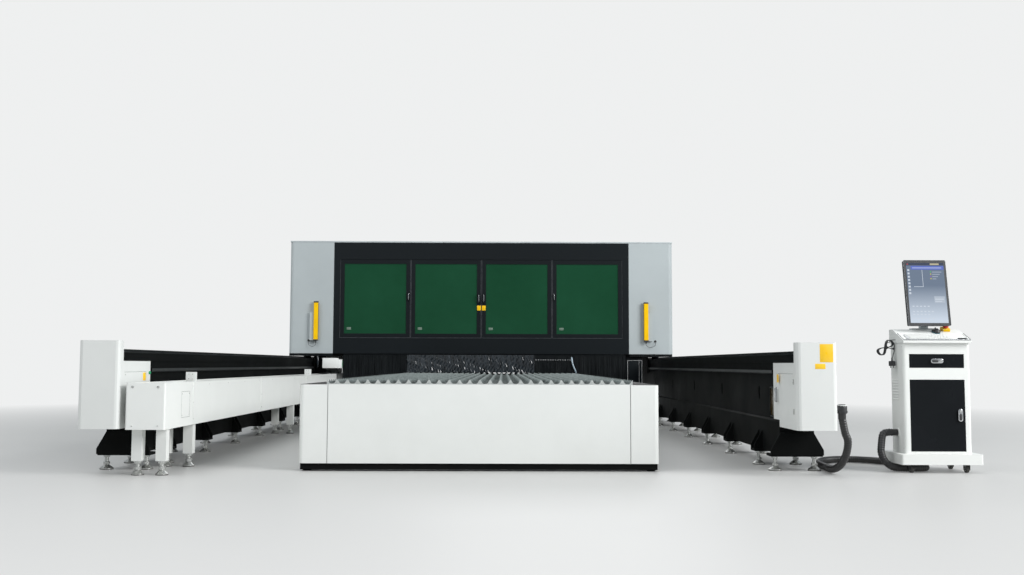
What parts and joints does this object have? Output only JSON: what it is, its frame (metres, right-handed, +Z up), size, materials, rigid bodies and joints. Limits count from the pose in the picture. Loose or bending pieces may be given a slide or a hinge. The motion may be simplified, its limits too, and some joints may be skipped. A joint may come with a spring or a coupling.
{
  "type": "fiber laser cutting machine",
  "caption": "Large-format laser cutting machine: serrated slat table, side beams, travelling enclosed gantry with folding green-paned doors, chain trough, and an operator console on casters.",
  "frame": {"origin": "the floor point under the middle of the slat table, at the middle floor pad of the table frame", "axes": "+X across the machine to the operator's right, +Y along the beams away from the operator's end, +Z up"},
  "size_m": [6.8415, 10.614, 2.65],
  "materials": {
    "white_paint": "white powder coat, satin",
    "grey_paint": "light grey powder coat, satin",
    "black_paint": "black powder coat, satin",
    "frame_black": "black powder coat, smooth",
    "galvanised": "galvanised sheet, dull",
    "machined_steel": "ground steel",
    "green_pane": "dark green laser-safety acrylic, glossy",
    "yellow_paint": "yellow powder coat",
    "red_plastic": "red moulded plastic",
    "black_plastic": "black moulded plastic",
    "curtain_black": "black coated fabric curtain",
    "pale_plastic": "pale grey painted roof sheet",
    "rubber": "black rubber"
  },
  "bodies": {
    "machine_base": {"beam_left": "black_paint", "beam_right": "black_paint", "guide_rail_left": "machined_steel", "guide_rail_right": "machined_steel", "end_cover_left": "white_paint", "end_cover_right": "white_paint", "side_panel_left": "white_paint", "table_frame": "black_paint", "table_side_left": "white_paint", "table_side_right": "white_paint", "table_front_cover": "white_paint", "table_rear_cover": "white_paint", "slat_pallet_1": "galvanised", "slat_pallet_2": "galvanised", "slat_pallet_3": "galvanised", "chain_trough": "white_paint", "trough_end_box": "white_paint", "energy_chain": "black_plastic", "console_base": "white_paint", "console_body": "white_paint", "desk": "white_paint", "keyboard": "black_plastic", "mouse": "black_plastic", "monitor_arm": "grey_paint", "hose": "rubber"},
    "gantry": {"end_carriage_left": "black_paint", "end_carriage_right": "black_paint", "gantry_beam": "grey_paint", "chain_arm": "white_paint", "tower_left": "grey_paint", "tower_right": "grey_paint", "light_curtain_left": "yellow_paint", "light_curtain_right": "yellow_paint", "front_frame": "frame_black", "rear_panel": "frame_black", "roof": "pale_plastic", "front_skirt": "curtain_black"},
    "x_carriage_body": {"x_carriage": "grey_paint"},
    "head_body": {"cutting_head": "black_plastic"},
    "leaf_1": {"door_leaf_1": "frame_black", "door_pane_1": "green_pane"},
    "leaf_2": {"door_leaf_2": "frame_black", "door_pane_2": "green_pane"},
    "leaf_3": {"door_leaf_3": "frame_black", "door_pane_3": "green_pane"},
    "leaf_4": {"door_leaf_4": "frame_black", "door_pane_4": "green_pane"},
    "cover_door": {"side_door_right": "white_paint"},
    "cabinet_door": {"console_door": "frame_black"},
    "drawer": {"console_drawer": "frame_black"},
    "monitor_body": {"monitor": "black_plastic"},
    "stop_button_body": {"stop_button": "red_plastic"},
    "fork_front_left": {"caster_fork_front_left": "black_plastic"},
    "wheel_front_left": {"caster_wheel_front_left": "rubber"},
    "fork_front_right": {"caster_fork_front_right": "black_plastic"},
    "wheel_front_right": {"caster_wheel_front_right": "rubber"},
    "fork_rear_left": {"caster_fork_rear_left": "black_plastic"},
    "wheel_rear_left": {"caster_wheel_rear_left": "rubber"},
    "fork_rear_right": {"caster_fork_rear_right": "black_plastic"},
    "wheel_rear_right": {"caster_wheel_rear_right": "rubber"}
  },
  "joints": [
    {"name": "gantry_travel", "type": "slide", "parent": "machine_base", "child": "gantry", "axis": [0, 1, 0], "range_m": [-6.5, 0.3]},
    {"name": "x_travel", "type": "slide", "parent": "gantry", "child": "x_carriage_body", "axis": [1, 0, 0], "range_m": [-1.15, 1.15]},
    {"name": "head_lift", "type": "slide", "parent": "x_carriage_body", "child": "head_body", "axis": [0, 0, 1], "range_m": [-0.08, 0.12]},
    {"name": "leaf_1_fold", "type": "hinge", "parent": "gantry", "child": "leaf_1", "pos_m": [-2.2365, 2.298, 1.793], "axis": [0, 0, -1], "range_deg": [0, 78]},
    {"name": "leaf_2_fold", "type": "hinge", "parent": "leaf_1", "child": "leaf_2", "pos_m": [-1.18825, 2.334, 1.793], "axis": [0, 0, 1], "range_deg": [0, 156]},
    {"name": "leaf_4_fold", "type": "hinge", "parent": "gantry", "child": "leaf_4", "pos_m": [1.9565, 2.298, 1.793], "axis": [0, 0, 1], "range_deg": [0, 78]},
    {"name": "leaf_3_fold", "type": "hinge", "parent": "leaf_4", "child": "leaf_3", "pos_m": [0.90825, 2.334, 1.793], "axis": [0, 0, -1], "range_deg": [0, 156]},
    {"name": "cover_door_hinge", "type": "hinge", "parent": "machine_base", "child": "cover_door", "pos_m": [2.343, -5.343, 0.59], "axis": [0, 0, 1], "range_deg": [0, 110]},
    {"name": "cabinet_door_hinge", "type": "hinge", "parent": "machine_base", "child": "cabinet_door", "pos_m": [3.338, -5.03, 0.44], "axis": [0, 0, -1], "range_deg": [0, 110]},
    {"name": "drawer_slide", "type": "slide", "parent": "machine_base", "child": "drawer", "axis": [0, -1, 0], "range_m": [0, 0.16]},
    {"name": "monitor_tilt", "type": "hinge", "parent": "machine_base", "child": "monitor_body", "pos_m": [3.55, -4.815, 1.38], "axis": [1, 0, 0], "range_deg": [-12, 2]},
    {"name": "stop_press", "type": "slide", "parent": "machine_base", "child": "stop_button_body", "axis": [0, 0.3714, -0.9285], "range_m": [0, 0.006], "stiffness_N_per_m": 900},
    {"name": "swivel_front_left", "type": "hinge", "parent": "machine_base", "child": "fork_front_left", "pos_m": [3.3365, -5.04, 0.0657], "axis": [0, 0, 1], "continuous": true},
    {"name": "roll_front_left", "type": "hinge", "parent": "fork_front_left", "child": "wheel_front_left", "pos_m": [3.3365, -5.022, 0.03], "axis": [1, 0, 0], "continuous": true},
    {"name": "swivel_front_right", "type": "hinge", "parent": "machine_base", "child": "fork_front_right", "pos_m": [3.7635, -5.04, 0.0657], "axis": [0, 0, 1], "continuous": true},
    {"name": "roll_front_right", "type": "hinge", "parent": "fork_front_right", "child": "wheel_front_right", "pos_m": [3.7635, -5.022, 0.03], "axis": [1, 0, 0], "continuous": true},
    {"name": "swivel_rear_left", "type": "hinge", "parent": "machine_base", "child": "fork_rear_left", "pos_m": [3.3365, -4.75, 0.0657], "axis": [0, 0, 1], "continuous": true},
    {"name": "roll_rear_left", "type": "hinge", "parent": "fork_rear_left", "child": "wheel_rear_left", "pos_m": [3.3365, -4.732, 0.03], "axis": [1, 0, 0], "continuous": true},
    {"name": "swivel_rear_right", "type": "hinge", "parent": "machine_base", "child": "fork_rear_right", "pos_m": [3.7635, -4.75, 0.0657], "axis": [0, 0, 1], "continuous": true},
    {"name": "roll_rear_right", "type": "hinge", "parent": "fork_rear_right", "child": "wheel_rear_right", "pos_m": [3.7635, -4.732, 0.03], "axis": [1, 0, 0], "continuous": true}
  ],
  "couplings": [
    {"joint": "leaf_2_fold", "follows": "leaf_1_fold", "ratio": 2},
    {"joint": "leaf_3_fold", "follows": "leaf_4_fold", "ratio": 2}
  ]
}
